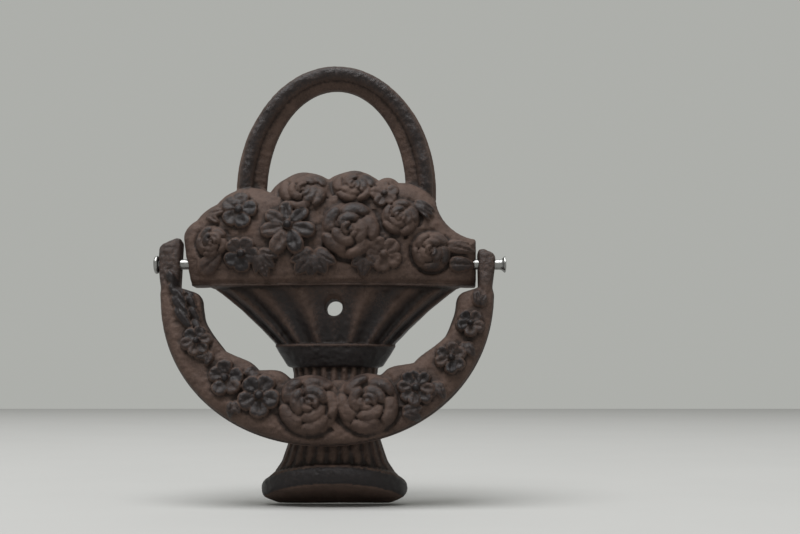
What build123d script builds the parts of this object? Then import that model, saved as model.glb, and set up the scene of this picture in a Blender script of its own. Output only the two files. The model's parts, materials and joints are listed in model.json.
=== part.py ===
from build123d import *

# Door knocker in the shape of a flower basket: an iron basket that screws to a door, and an iron
# garland that swings on a steel rod through the basket's rim and strikes the basket's stem.
#
# Frame: +X to the viewer's right, +Z up, front towards -Y, back flat on the plane y = 0.
# The origin is the centre of the upper screw hole on the back plane. Millimetres.

import math
import os

os.makedirs("parts", exist_ok=True)

# ---------------------------------------------------------------- driving dimensions

WALL = 5.0  # thickness of the hollow-backed casting
PAST = 1.0  # how far a cutter runs past the face it starts from

# Flower bank: a mound whose front bulges both ways
BANK_BOTTOM = 14.0
BANK_DEPTH = 22.0
BANK_ACROSS_R = 244.0  # radius of its bulge, seen from above
BANK_UP_R = 63.0  # radius of its bulge, seen from the side
BANK_CREST_Z = 24.0

# Rim: the straight bar under the flowers
RIM_BOTTOM = 10.0
RIM_LEFT, RIM_RIGHT = -60.5, 59.4
RIM_DEPTH, RIM_END_DEPTH = 22.5, 14.5

# Vase sections from top to bottom: (height, half width, depth)
BOWL_SECTIONS = [
    (RIM_BOTTOM, 54, 18.5),
    (6.5, 48.2, 17.6),
    (0, 41, 16.4),
    (-8, 32.6, 14.8),
    (-15, 25.6, 13.2),
]
COLLAR_SECTIONS = [(-15, 25.8, 14.6), (-18.5, 24.4, 14.2), (-22, 21.2, 13), (-24.5, 20.4, 12.4)]
STEM_SECTIONS = [(-24.5, 18.4, 11.2), (-36, 17, 13.0), (-47, 17.4, 14.0), (-56, 20, 15.2), (-64, 23, 16.6)]
FOOT_SECTIONS = [(-64, 23, 16.6), (-68, 26, 18.2), (-73, 29.5, 19.4), (-80, 29, 18)]

# Foot: a thick plate with a rounded edge, tilted so that its front is raised
FOOT_BOTTOM = -82.0
FOOT_TILT = 25.0  # degrees
FOOT_HALF_WIDTH, FOOT_REACH = 30.8, 23.6
FOOT_PLATE = 6.8
FOOT_ROUND = 3.0

# Flutes
BOWL_FLUTES = (25, 47, 68)  # degrees round the bowl at its foot
BOWL_FLUTE_LEAN = 0.64  # share of that turn at the flutes' upper ends
BOWL_FLUTE_TOP = 5.0
BOWL_FLUTE_R = (1.0, 3.2)  # at the foot of the bowl, at the flutes' upper ends
BOWL_FLUTE_RUN_OUT = 0.1  # share of a flute's length that runs on past the bowl's foot
STEM_FLUTE_STEP = 16.0  # degrees between the stem's flutes
STEM_FLUTES_EACH_SIDE = 4
STEM_FLUTE_R = (1.8, 1.2)  # at the bottom, at the top

# Screw holes
SCREW_R = 3.3
SCREW_MOUTH_R = 5.4
SCREW_BOSS_R = 7.4
LOWER_SCREW_Z = -41.0

# Arch handle: the upper half of an elliptical ring
ARCH_Z = 51.0
ARCH_OUTER = (43.0, 55.2)
ARCH_INNER = (30.4, 45.2)
ARCH_DEPTH = 9.5
ARCH_ROUND = 3.6

# Pivot rod
ROD_R = 2.2
ROD_Y, ROD_Z = -10.0, 18.5
ROD_LEFT, ROD_RIGHT = -74.6, 70.4
ROD_HEAD_R, ROD_HEAD_T = 3.8, 1.8
ROD_FLARE_R, ROD_FLARE_T = 3.4, 2.0
ROD_END_ROUND = 0.5
RIM_HOLE_R = ROD_R + 0.05
ARM_HOLE_R = ROD_R + 0.08

# Knocker: drawn on its own plane, which leans forward from the rod
KNOCKER_LEAN = 9.0  # degrees
KNOCKER_BACK, KNOCKER_FRONT = 5.0, 4.0
KNOCKER_ROUND = 2.2
ARM_BOTTOM = -10.5
LEFT_ARM = (-74.2, -65.2)
RIGHT_ARM = (60.8, 67.6)
LEFT_ARM_TOP, RIGHT_ARM_TOP = 10.5, 5.8

# The garland hangs between two bows: (middle across, height of the ends, half width, drop)
OUTER_BOW = (-3.0, ARM_BOTTOM, 70.0, 65.5)
INNER_BOW = (-2.0, -14.5, 53.5, 35.0)
BOW_SQUARENESS = 2.1  # 2 would make each bow half an ellipse
BOW_POINTS = 13

# Flowers
PETAL_BASE = 0.7  # height of the disc that joins a flower's petals

FRONT = Vector(0, -1, 0)


# ---------------------------------------------------------------- shared shapes


def half_round(sections):
    """Solid through half ellipses (height, half width, depth) that stand on the back plane."""
    with BuildPart() as body:
        for height, half_width, depth in sections:
            with BuildSketch(Plane.XY.offset(height)):
                Ellipse(half_width, depth)
                with Locations((0, depth)):
                    Rectangle(2.1 * half_width, 2 * depth, mode=Mode.SUBTRACT)
        loft()
    return body.part


def thinned(sections, wall):
    """The same sections a wall's thickness further in."""
    return [(height, half_width - wall, depth - wall) for height, half_width, depth in sections]


def section_at(sections, height):
    """Half width and depth at a height, between two of the sections."""
    for (z_top, w_top, d_top), (z_low, w_low, d_low) in zip(sections, sections[1:]):
        if z_low <= height <= z_top:
            share = (z_top - height) / (z_top - z_low)
            return w_top + share * (w_low - w_top), d_top + share * (d_low - d_top)
    raise ValueError("no section at that height")


def on_front(sections, height, turn):
    """Point on the front of a half-round solid, turn degrees round from straight ahead."""
    half_width, depth = section_at(sections, height)
    angle = math.radians(turn)
    return Vector(half_width * math.sin(angle), -depth * math.cos(angle), height)


def taper_between(start, end, start_radius, end_radius):
    """Round tapered cutter from one point to another."""
    axis = end - start
    with BuildPart(Plane(origin=start, z_dir=axis)) as cutter:
        Cone(start_radius, end_radius, axis.length, align=(Align.CENTER, Align.CENTER, Align.MIN))
    return cutter.part


def screw_hole(height, front_y):
    """Cutter for a straight hole from the back plane, with a wider mouth at the front."""
    mouth_depth = 1.2 * (SCREW_MOUTH_R - SCREW_R)
    straight = -front_y - mouth_depth
    with BuildPart(Plane(origin=(0, 0, height), z_dir=FRONT)) as cutter:
        with Locations((0, 0, -PAST)):
            Cylinder(SCREW_R, straight + 2 * PAST, align=(Align.CENTER, Align.CENTER, Align.MIN))
        with Locations((0, 0, straight)):
            Cone(SCREW_R, SCREW_MOUTH_R, mouth_depth, align=(Align.CENTER, Align.CENTER, Align.MIN))
        with Locations((0, 0, straight + mouth_depth)):
            Cylinder(SCREW_MOUTH_R, 4 * PAST, align=(Align.CENTER, Align.CENTER, Align.MIN))
    return cutter.part


def bow(middle, ends, half_width, drop):
    """Points from left to right along the lower half of a slightly squared ellipse."""
    points = []
    for step in range(BOW_POINTS):
        angle = math.pi * step / (BOW_POINTS - 1)
        across = math.copysign(abs(math.cos(angle)) ** (2 / BOW_SQUARENESS), -math.cos(angle))
        down = abs(math.sin(angle)) ** (2 / BOW_SQUARENESS)
        points.append((middle + half_width * across, ends - drop * down))
    return points


def along_rod(radius, start, end):
    """Round bar on the rod's axis."""
    with BuildPart(Plane(origin=(start, ROD_Y, ROD_Z), z_dir=(1, 0, 0))) as bar:
        Cylinder(radius, end - start, align=(Align.CENTER, Align.CENTER, Align.MIN))
    return bar.part


def bloom(plane, rings):
    """Flower head made of rings of domed petals: (ring radius, petal radius, count, rise, turn)."""
    with BuildPart(plane) as head:
        Cylinder(rings[0][0], 2 * PETAL_BASE)
        for ring, petal, count, rise, turn in rings:
            with Locations((0, 0, rise - petal)):
                if ring == 0:
                    Sphere(petal)
                else:
                    with PolarLocations(ring, count, start_angle=turn):
                        Sphere(petal)
    return head.part


def rose_rings(radius, turn=0):
    """Rings of an open rose: outer petals, inner petals and a bud."""
    return [
        (0.56 * radius, 0.44 * radius, 5, 0.24 * radius, turn),
        (0.27 * radius, 0.30 * radius, 4, 0.33 * radius, turn + 30),
        (0, 0.17 * radius, 1, 0.40 * radius, 0),
    ]


def daisy_rings(radius, petals, turn=0):
    """Rings of a flat flower: one row of petals round a button."""
    petal = 0.95 * radius * math.sin(math.pi / petals) / (1 + math.sin(math.pi / petals))
    return [
        (radius - petal, petal * 1.15, petals, 0.22 * radius, turn),
        (0, 0.34 * radius, 1, 0.34 * radius, 0),
    ]


def leaf(plane, lobes, rise=1.7, sink=6.0):
    """Flat leaf of pointed lobes (direction in degrees, length, width) with a vein along each."""
    with BuildPart() as blade:
        with BuildSketch(plane.offset(-sink)):
            for direction, length, width in lobes:
                with BuildLine(Rotation(0, 0, direction)):
                    ThreePointArc((0, 0), (0.45 * length, width / 2), (length, 0))
                    ThreePointArc((0, 0), (0.45 * length, -width / 2), (length, 0))
                make_face()
            Circle(0.16 * max(length for _, length, _ in lobes))
        extrude(amount=sink + rise)
    for direction, length, _ in lobes:
        angle = math.radians(direction)
        heading = plane.x_dir * math.cos(angle) + plane.y_dir * math.sin(angle)
        start = plane.origin + plane.z_dir * (rise + 0.1)
        vein = taper_between(start + heading * 0.3, start + heading * 0.8 * length, 0.5, 0.3)
        blade.part = blade.part - vein
    return blade.part


# ---------------------------------------------------------------- basket casting


def bank_outline():
    """Front view of the flower bank, with humps where the flowers at its edge stand up."""
    with BuildSketch(Plane.XZ) as outline:
        with BuildLine():
            Polyline((59.4, 29.7), (59.4, BANK_BOTTOM), (RIM_LEFT, BANK_BOTTOM), (-63.5, 30))
            ThreePointArc((-63.5, 30), (-60.5, 37.5), (-54, 42.5))
            ThreePointArc((-54, 42.5), (-43, 51.5), (-28, 50))
            ThreePointArc((-28, 50), (-15, 59), (-3, 56))
            ThreePointArc((-3, 56), (8, 59.6), (18.5, 55.8))
            ThreePointArc((18.5, 55.8), (22.5, 56.6), (27, 54.6))
            ThreePointArc((27, 54.6), (36, 51), (42.8, 46))
            ThreePointArc((42.8, 46), (48.5, 35), (59.4, 29.7))
        make_face()
    return outline.sketch


def hollow_outline():
    """Front view of the hollow behind the bank, about a wall's thickness inside its outline."""
    with BuildSketch(Plane.XZ) as outline:
        with BuildLine():
            Polyline((54, 27), (54, BANK_BOTTOM), (-55.5, BANK_BOTTOM), (-58, 29))
            ThreePointArc((-58, 29), (-55, 34.5), (-49, 38.5))
            Polyline((-49, 38.5), (-40, 46), (-27, 45), (-14, 53.5), (8, 54), (20, 50), (32, 47), (39, 42))
            ThreePointArc((39, 42), (44.5, 31), (54, 27))
        make_face()
    return outline.sketch


def bank_mound(outline, inset):
    """What lies inside an outline and under the bank's double curve, moved back by inset."""
    with BuildPart() as mound:
        with BuildSketch(Plane.XZ):
            add(outline)
        extrude(amount=BANK_DEPTH + PAST)
        with Locations((0, BANK_ACROSS_R - BANK_DEPTH, BANK_CREST_Z)):
            Torus(BANK_ACROSS_R - BANK_UP_R, BANK_UP_R - inset, mode=Mode.INTERSECT)
    return mound.part


def bank_plane(x, z, turn=0):
    """Plane that lies on the flower bank's front at a place in its front view."""
    centre_y = BANK_ACROSS_R - BANK_DEPTH
    up = math.sqrt(BANK_UP_R**2 - (z - BANK_CREST_Z) ** 2)
    reach = BANK_ACROSS_R - BANK_UP_R + up
    y = centre_y - math.sqrt(reach**2 - x**2)
    across = Vector(x, y - centre_y, 0).normalized()
    normal = across * (up / BANK_UP_R) + Vector(0, 0, (z - BANK_CREST_Z) / BANK_UP_R)
    level = Vector(0, 0, 1).cross(normal).normalized()
    return Plane(origin=(x, y, z), x_dir=level, z_dir=normal).rotated((0, 0, turn))


bank_solid = bank_mound(bank_outline(), 0)

with BuildPart() as flower_bank:
    add(bank_solid)
    add(bank_mound(hollow_outline(), WALL), mode=Mode.SUBTRACT)
    with BuildSketch(Plane.XY.offset(BANK_BOTTOM)):
        with Locations((0, -(BANK_DEPTH - 2 * WALL) / 2)):
            Rectangle(RIM_RIGHT - RIM_LEFT - 4 * WALL, BANK_DEPTH - 2 * WALL)
    extrude(amount=2 * WALL, mode=Mode.SUBTRACT)
    add(along_rod(RIM_HOLE_R, RIM_LEFT - 2 * WALL, RIM_RIGHT + 2 * WALL), mode=Mode.SUBTRACT)

with BuildPart() as rim:
    with BuildSketch(Plane.XY.offset(RIM_BOTTOM)):
        with BuildLine():
            ThreePointArc((RIM_LEFT, -RIM_END_DEPTH), (0, -RIM_DEPTH), (RIM_RIGHT, -RIM_END_DEPTH))
            Polyline((RIM_RIGHT, -RIM_END_DEPTH), (RIM_RIGHT, 0), (RIM_LEFT, 0), (RIM_LEFT, -RIM_END_DEPTH))
        make_face()
    extrude(amount=BANK_BOTTOM - RIM_BOTTOM)
    with BuildSketch(Plane.XY.offset(RIM_BOTTOM)):
        with Locations((0, -(BANK_DEPTH - 2 * WALL) / 2)):
            Rectangle(RIM_RIGHT - RIM_LEFT - 4 * WALL, BANK_DEPTH - 2 * WALL)
    extrude(amount=BANK_BOTTOM - RIM_BOTTOM, mode=Mode.SUBTRACT)

with BuildPart() as arch_handle:
    with BuildSketch(Plane.XZ):
        with Locations((0, ARCH_Z)):
            Ellipse(*ARCH_OUTER)
            Ellipse(*ARCH_INNER, mode=Mode.SUBTRACT)
        with Locations((0, ARCH_Z - ARCH_OUTER[1])):
            Rectangle(3 * ARCH_OUTER[0], 2 * ARCH_OUTER[1] - 20, mode=Mode.SUBTRACT)
    extrude(amount=ARCH_DEPTH)
    front_edges = arch_handle.faces().sort_by(Axis.Y)[0].edges().filter_by(GeomType.LINE, reverse=True)
    fillet(front_edges, ARCH_ROUND)
    with BuildSketch(Plane.XZ):
        add(bank_outline())
    extrude(amount=ARCH_DEPTH + PAST, mode=Mode.SUBTRACT)

with BuildPart() as fluted_bowl:
    add(half_round(BOWL_SECTIONS))
    add(half_round(thinned(BOWL_SECTIONS[:-1], WALL)), mode=Mode.SUBTRACT)
    with BuildSketch(Plane.XZ):
        Circle(SCREW_BOSS_R)
    extrude(amount=section_at(BOWL_SECTIONS, 4)[1] - WALL / 2)
    bowl_front = -section_at(BOWL_SECTIONS, 0)[1]
    add(screw_hole(0, bowl_front), mode=Mode.SUBTRACT)
    for side in (-1, 1):
        for turn in BOWL_FLUTES:
            low = on_front(BOWL_SECTIONS, BOWL_SECTIONS[-1][0], side * turn)
            high = on_front(BOWL_SECTIONS, BOWL_FLUTE_TOP, side * turn * BOWL_FLUTE_LEAN)
            run_out = low + (low - high) * BOWL_FLUTE_RUN_OUT
            add(taper_between(run_out, high, *BOWL_FLUTE_R), mode=Mode.SUBTRACT)

with BuildPart() as collar:
    add(half_round(COLLAR_SECTIONS))

with BuildPart() as fluted_stem:
    add(half_round(STEM_SECTIONS))
    add(half_round(thinned(STEM_SECTIONS[1:], WALL)), mode=Mode.SUBTRACT)
    stem_front = -section_at(STEM_SECTIONS, LOWER_SCREW_Z)[1]
    with BuildSketch(Plane.XZ):
        with Locations((0, LOWER_SCREW_Z)):
            Circle(SCREW_BOSS_R)
    extrude(amount=-stem_front - WALL / 2)
    add(screw_hole(LOWER_SCREW_Z, stem_front), mode=Mode.SUBTRACT)
    for flute in range(-STEM_FLUTES_EACH_SIDE, STEM_FLUTES_EACH_SIDE + 1):
        high = on_front(STEM_SECTIONS, STEM_SECTIONS[0][0], flute * STEM_FLUTE_STEP)
        low = on_front(STEM_SECTIONS, STEM_SECTIONS[-1][0], flute * STEM_FLUTE_STEP)
        add(taper_between(low, high, *STEM_FLUTE_R), mode=Mode.SUBTRACT)

underside = Plane(origin=(0, 0, FOOT_BOTTOM), x_dir=(1, 0, 0), z_dir=(0, 0, 1)).rotated((-FOOT_TILT, 0, 0))

with BuildPart() as foot:
    with BuildSketch(underside):
        Ellipse(FOOT_HALF_WIDTH, FOOT_REACH)
    extrude(amount=FOOT_PLATE)
    fillet(foot.edges(), FOOT_ROUND)
    split(bisect_by=Plane.XZ, keep=Keep.TOP)
    add(half_round(FOOT_SECTIONS))
    split(bisect_by=underside, keep=Keep.TOP)

# ---------------------------------------------------------------- flowers on the bank


placed = [bank_solid, rim.part]


def planted(shape):
    """A flower with what lies inside the bank, or inside an earlier flower, taken off."""
    for earlier in placed:
        shape = shape - earlier
    placed.append(shape)
    return shape


# name: (x, z, radius, turn)
ROSES = {
    "rose_centre": (6.9, 32.6, 13.4, 54),
    "rose_top_left": (-12.4, 48.8, 10.4, 40),
    "rose_top_right": (8.4, 50.2, 8.8, 18),
    "rose_right_upper": (28.0, 37.2, 9.0, 25),
    "rose_right_lower": (40.5, 23.4, 9.2, 60),
    "rose_left": (-51.2, 26.9, 7.8, 15),
}
rose_parts = {
    name: planted(bloom(bank_plane(x, z), rose_rings(radius, turn)))
    for name, (x, z, radius, turn) in ROSES.items()
}

daisy = planted(bloom(bank_plane(-19.2, 33.6), daisy_rings(12.4, 7, 12)))

# (x, z, radius, turn)
SMALL_FLOWERS = [(-39.9, 42.0, 8.4, 18), (-39.6, 24.8, 7.0, 50), (22.6, 22.0, 6.8, 0)]
small_flowers = [
    planted(bloom(bank_plane(x, z), daisy_rings(radius, 5, turn))) for x, z, radius, turn in SMALL_FLOWERS
]

buds = planted(bloom(bank_plane(21.8, 48.0), [(2.6, 3.0, 3, 2.4, 90)]))

# (x, z, lobes)
LEAVES = [
    (-30.4, 22.6, [(-48, 9.6, 5.2), (-12, 8.0, 4.4), (-84, 8.4, 4.4)]),
    (-7.0, 22.8, [(-90, 8.0, 8.0), (-150, 8.6, 6.4), (-30, 8.6, 6.4)]),
    (12.6, 19.4, [(-90, 5.0, 4.6), (-150, 4.6, 4.0), (-30, 4.6, 4.0)]),
    (-54.0, 18.6, [(20, 6.4, 4.6), (200, 5.0, 4.2)]),
    (50.0, 26.2, [(-6, 8.6, 5.0)]),
    (51.0, 19.0, [(-14, 7.6, 4.4), (14, 7.6, 4.0)]),
    (35.6, 44.6, [(-38, 9.4, 5.4)]),
    (-57.0, 34.0, [(40, 7.6, 4.8)]),
]
leaves = [planted(leaf(bank_plane(x, z), lobes)) for x, z, lobes in LEAVES]

# ---------------------------------------------------------------- pivot rod

with BuildPart() as pivot_rod:
    add(along_rod(ROD_R, ROD_LEFT - ROD_HEAD_T, ROD_RIGHT))
    add(along_rod(ROD_HEAD_R, ROD_LEFT - ROD_HEAD_T, ROD_LEFT))
    with BuildPart(Plane(origin=(ROD_RIGHT, ROD_Y, ROD_Z), z_dir=(1, 0, 0)), mode=Mode.PRIVATE) as flare:
        Cone(ROD_R, ROD_FLARE_R, ROD_FLARE_T, align=(Align.CENTER, Align.CENTER, Align.MIN))
    add(flare.part)
    fillet(pivot_rod.faces().sort_by(Axis.X)[0].edges(), ROD_END_ROUND)
    fillet(pivot_rod.faces().sort_by(Axis.X)[-1].edges(), ROD_END_ROUND)

# ---------------------------------------------------------------- knocker casting

lean = math.radians(KNOCKER_LEAN)
KNOCKER_PLANE = Plane(
    origin=(0, ROD_Y, ROD_Z),
    x_dir=(1, 0, 0),
    z_dir=(0, -math.cos(lean), math.sin(lean)),
)


def knocker_plane(x, y):
    """Plane on the knocker's flat front at a place in its own front view."""
    return Plane(
        origin=KNOCKER_PLANE.from_local_coords(Vector(x, y, KNOCKER_FRONT)),
        x_dir=KNOCKER_PLANE.x_dir,
        z_dir=KNOCKER_PLANE.z_dir,
    )


with BuildPart() as garland:
    with BuildSketch(KNOCKER_PLANE.offset(-KNOCKER_BACK)):
        with BuildLine():
            outer = Spline(bow(*OUTER_BOW))
            inner = Spline(bow(*INNER_BOW))
            Polyline(outer @ 1, (RIGHT_ARM[0], ARM_BOTTOM), inner @ 1)
            Polyline(inner @ 0, (LEFT_ARM[1], ARM_BOTTOM), outer @ 0)
        make_face()
    extrude(amount=KNOCKER_BACK + KNOCKER_FRONT)
    front_face = garland.faces().sort_by(Axis((0, 0, 0), KNOCKER_PLANE.z_dir))[-1]
    chamfer(front_face.edges().filter_by(GeomType.BSPLINE), KNOCKER_ROUND)


def arm(side, top):
    """Upright ear of the knocker, with its eye for the rod."""
    left, right = side
    width = right - left
    with BuildPart() as ear:
        with BuildSketch(KNOCKER_PLANE.offset(-KNOCKER_BACK)):
            with Locations(((left + right) / 2, (top + ARM_BOTTOM) / 2)):
                Rectangle(width, top - ARM_BOTTOM)
        extrude(amount=KNOCKER_BACK + KNOCKER_FRONT)
        fillet(ear.edges().filter_by(Axis.X).sort_by(Axis.Z)[-2:], KNOCKER_ROUND)
        add(along_rod(ARM_HOLE_R, left - PAST, right + PAST), mode=Mode.SUBTRACT)
    return ear.part


left_arm = arm(LEFT_ARM, LEFT_ARM_TOP)
right_arm = arm(RIGHT_ARM, RIGHT_ARM_TOP)


def on_knocker(x, y, rings):
    """A flower that stands on the knocker's front."""
    plane = knocker_plane(x, y)
    return split(bloom(plane, rings), bisect_by=plane, keep=Keep.TOP)


knocker_roses = [
    on_knocker(-10.2, -61.2, rose_rings(10.6, 20)),
    on_knocker(14.4, -60.4, rose_rings(10.8, 50)),
]
# (x, y, radius, petals, turn)
KNOCKER_FLOWERS = [
    (-30.1, -57.4, 8.2, 5, 0),
    (-43.8, -49.6, 7.0, 6, 20),
    (-56.0, -33.8, 6.4, 5, 40),
    (34.2, -53.8, 7.2, 6, 0),
    (48.4, -41.4, 6.2, 5, 25),
    (56.2, -26.4, 5.6, 5, 50),
]
knocker_flowers = [
    on_knocker(x, y, daisy_rings(radius, petals, turn)) for x, y, radius, petals, turn in KNOCKER_FLOWERS
]
# (x, y, lobes)
KNOCKER_LEAVES = [
    (-68.6, -12.2, [(-62, 11.0, 4.4)]),
    (-66.4, -20.6, [(-58, 9.0, 4.0)]),
    (-52.8, -41.6, [(-150, 6.5, 3.6)]),
    (-39.5, -58.8, [(-110, 6.0, 3.4)]),
    (24.6, -62.2, [(-62, 7.0, 4.0), (-14, 6.4, 3.6)]),
    (42.2, -51.6, [(-96, 6.2, 3.4)]),
    (55.6, -34.4, [(-70, 6.0, 3.6)]),
    (61.0, -19.6, [(96, 7.0, 3.4)]),
]
knocker_leaves = [leaf(knocker_plane(x, y), lobes, sink=0) for x, y, lobes in KNOCKER_LEAVES]
for flower in knocker_roses + knocker_flowers:
    knocker_leaves = [blade - flower for blade in knocker_leaves]

# ---------------------------------------------------------------- files

PARTS = {
    "arch_handle": [arch_handle.part],
    "flower_bank": [flower_bank.part],
    "rim": [rim.part],
    "fluted_bowl": [fluted_bowl.part],
    "collar": [collar.part],
    "fluted_stem": [fluted_stem.part],
    "foot": [foot.part],
    **{name: [shape] for name, shape in rose_parts.items()},
    "daisy": [daisy],
    "small_flowers": small_flowers,
    "rose_buds": [buds],
    "leaves": leaves,
    "pivot_rod": [pivot_rod.part],
    "garland": [garland.part],
    "left_arm": [left_arm],
    "right_arm": [right_arm],
    "knocker_roses": knocker_roses,
    "knocker_flowers": knocker_flowers,
    "knocker_leaves": knocker_leaves,
}

for name, shapes in PARTS.items():
    solids = [solid for shape in shapes for solid in shape.solids()]
    node = solids[0] if len(solids) == 1 else Compound(solids)
    node.label = name
    export_step(node, f"parts/{name}.step")
    print(name, len(solids), "solids", round(sum(solid.volume for solid in solids)), "mm3")
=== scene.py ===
import json
import math

import bmesh
import bpy
import numpy as np
import openvdb
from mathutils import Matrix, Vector


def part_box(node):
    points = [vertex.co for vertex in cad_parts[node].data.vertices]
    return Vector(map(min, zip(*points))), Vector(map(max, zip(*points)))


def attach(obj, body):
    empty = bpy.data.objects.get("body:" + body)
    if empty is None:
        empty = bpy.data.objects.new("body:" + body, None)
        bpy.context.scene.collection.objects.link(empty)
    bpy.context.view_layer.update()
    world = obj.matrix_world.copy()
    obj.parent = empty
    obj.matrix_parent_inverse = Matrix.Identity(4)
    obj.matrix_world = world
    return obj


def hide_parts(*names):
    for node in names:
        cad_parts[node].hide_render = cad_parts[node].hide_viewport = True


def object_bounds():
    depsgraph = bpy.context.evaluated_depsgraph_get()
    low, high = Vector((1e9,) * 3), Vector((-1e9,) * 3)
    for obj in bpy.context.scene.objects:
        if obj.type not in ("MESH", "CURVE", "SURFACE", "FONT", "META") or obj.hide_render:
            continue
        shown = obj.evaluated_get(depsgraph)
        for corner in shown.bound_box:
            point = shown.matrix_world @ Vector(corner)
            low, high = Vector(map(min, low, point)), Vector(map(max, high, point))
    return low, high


# Flower-basket door knocker. Each iron casting is carved as a relief: a front and a back, both of them
# depths over a flat plane, turned into one closed surface. Sculpting is in millimetres.

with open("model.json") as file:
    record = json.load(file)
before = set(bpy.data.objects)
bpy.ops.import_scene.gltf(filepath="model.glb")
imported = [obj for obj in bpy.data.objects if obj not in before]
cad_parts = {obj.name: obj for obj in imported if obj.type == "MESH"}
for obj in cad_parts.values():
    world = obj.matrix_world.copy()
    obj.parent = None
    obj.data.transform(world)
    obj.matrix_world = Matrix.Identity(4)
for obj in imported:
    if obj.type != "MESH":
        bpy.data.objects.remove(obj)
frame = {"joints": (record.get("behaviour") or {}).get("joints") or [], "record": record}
CAD_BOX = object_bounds()

MM = 0.001
VOXEL = 0.42  # step of the sculpting grid
FACES = 190_000  # most triangles in a casting
NOTHING = -30.0  # a depth far behind the door


def node_box(node):
    """Lowest and highest corner of a CAD node, in millimetres."""
    low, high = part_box(node)
    return np.array(low) / MM, np.array(high) / MM


def node_middle(node):
    """Middle of a CAD node, and half its size."""
    low, high = node_box(node)
    return (low + high) / 2, (high - low) / 2


JOINT = frame["joints"][0]
ROD_Y, ROD_Z = JOINT["pos_m"][1] / MM, JOINT["pos_m"][2] / MM
ROD_LOW, ROD_HIGH = node_box("pivot_rod")
ARCH_HIGH = node_box("arch_handle")[1]
FOOT_LOW = node_box("foot")[0]
LEFT_ARM, RIGHT_ARM = node_box("left_arm"), node_box("right_arm")
SCREWS = [mount for mount in frame["record"]["mounts"] if mount["kind"] == "bore"]
SCREW_R = SCREWS[0]["dims"]["r_mm"]
SCREW_Z = [mount["pos_m"][2] / MM for mount in SCREWS]
LEAN = math.radians(9.0)  # of the hanging knocker, its lower end forward
RIM_BORE, EAR_BORE = 2.35, 2.42  # radius of the rod's holes in the basket and in the knocker

EDGE_GAIN = 0.3  # what smoothing takes off an outline, given back
EDGE_ROUND = 1.2  # fillet between a casting's faces and its outline
SPARE = 2.5  # empty grid in front of a casting and behind it
FIELD_LIMIT = 2.0  # distances are cut off past this

# A casting's skin: size and height of its slow waves, its fine grain and its pits
WAVE_SIZE, WAVE_HEIGHT = 4.0, 0.16
GRAIN_SIZE, GRAIN_HEIGHT = 0.5, 0.12
PIT_SIZE, PIT_DEPTH, PIT_RARITY = 0.9, 0.25, 1.6

# ---------------------------------------------------------------- relief tools


def smooth_max(a, b, k):
    """The larger of two depths, with a fillet about k wide where they cross."""
    h = np.clip(0.5 + 0.5 * (a - b) / k, 0, 1)
    return b + (a - b) * h + k * h * (1 - h)


def smooth_min(a, b, k):
    """The smaller of two depths, with a rounded edge about k wide."""
    return -smooth_max(-a, -b, k)


def ramp(x, low, high):
    """0 below low, 1 above high, smooth between."""
    t = np.clip((x - low) / (high - low), 0, 1)
    return t * t * (3 - 2 * t)


def rounding(inside, width):
    """Fall of a rounded edge: 1 at the outline, 0 from width inside it."""
    edge = np.clip(inside / width, 0, 1)
    return 1 - np.sqrt(1 - (1 - edge) ** 2)


def steepness(depth):
    """How many times longer a sloping surface is than the plane under it."""
    slope = np.gradient(depth, VOXEL)
    return np.sqrt(1 + slope[0] ** 2 + slope[1] ** 2)


def blur(field, sigma):
    """Gaussian blur; sigma in grid steps."""
    reach = int(3 * sigma) + 1
    kernel = np.exp(-0.5 * (np.arange(-reach, reach + 1) / sigma) ** 2)
    kernel /= kernel.sum()
    for axis in (0, 1):
        padded = np.pad(field, [(reach, reach) if a == axis else (0, 0) for a in (0, 1)], mode="edge")
        field = sum(
            weight * (padded[i:i + field.shape[0]] if axis == 0 else padded[:, i:i + field.shape[1]])
            for i, weight in enumerate(kernel)
        )
    return field


def arcs(points, steps=10):
    """Line of arcs through start, middle, end, middle, end and so on."""
    line = []
    for k in range(0, len(points) - 2, 2):
        start, middle, end = (complex(*p) for p in points[k:k + 3])
        w = (end - start) / (middle - start)
        centre = (middle - start) * (w - abs(w) ** 2) / (2j * w.imag) + start
        first = start - centre
        turn = np.angle((middle - centre) / first) + np.angle((end - centre) / (middle - centre))
        sweep = first * np.exp(1j * turn * np.arange(steps) / steps) + centre
        line += [(p.real, p.imag) for p in sweep]
    return line + [points[-1]]


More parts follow.
